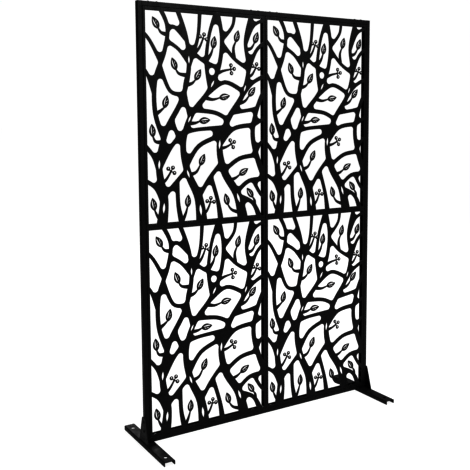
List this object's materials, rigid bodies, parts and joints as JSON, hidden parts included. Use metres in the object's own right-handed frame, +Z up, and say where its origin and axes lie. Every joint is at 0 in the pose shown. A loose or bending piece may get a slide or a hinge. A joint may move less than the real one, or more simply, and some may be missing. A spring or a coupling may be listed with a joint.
{
  "type": "free-standing privacy screen",
  "caption": "Free-standing metal privacy screen: laser-cut leafy lattice panels in a tube frame on channel feet with brace plates.",
  "frame": {"origin": "centre of the bounding box at floor level, midway between the two feet", "axes": "+X along the width of the screen, -Y out of the face of the panels, +Z up"},
  "size_m": [1.2286, 0.41, 1.8493],
  "materials": {
    "powder_coated_steel": "satin black powder coat with a fine texture",
    "black_fasteners": "black oxide, semi-gloss",
    "black_plastic": "matte"
  },
  "bodies": {
    "root": {"panel_top_left": "powder_coated_steel", "panel_top_right": "powder_coated_steel", "panel_bottom_left": "powder_coated_steel", "panel_bottom_right": "powder_coated_steel", "post_left": "powder_coated_steel", "post_right": "powder_coated_steel", "top_rail": "powder_coated_steel", "bottom_rail": "powder_coated_steel", "foot_left": "powder_coated_steel", "foot_right": "powder_coated_steel", "brace_plate_left": "powder_coated_steel", "brace_plate_right": "powder_coated_steel", "post_plug_left": "black_plastic", "post_plug_right": "black_plastic", "post_bolts_left": "black_fasteners", "post_bolts_right": "black_fasteners", "brace_bolts_left": "black_fasteners", "brace_bolts_right": "black_fasteners", "top_rail_bolts": "black_fasteners", "bottom_rail_bolts": "black_fasteners", "vertical_seam_bolts": "black_fasteners", "cross_seam_bolts": "black_fasteners", "post_nuts_left": "black_fasteners", "post_nuts_right": "black_fasteners", "top_rail_nuts": "black_fasteners", "bottom_rail_nuts": "black_fasteners", "vertical_seam_nuts": "black_fasteners", "cross_seam_nuts": "black_fasteners"}
  },
  "joints": []
}
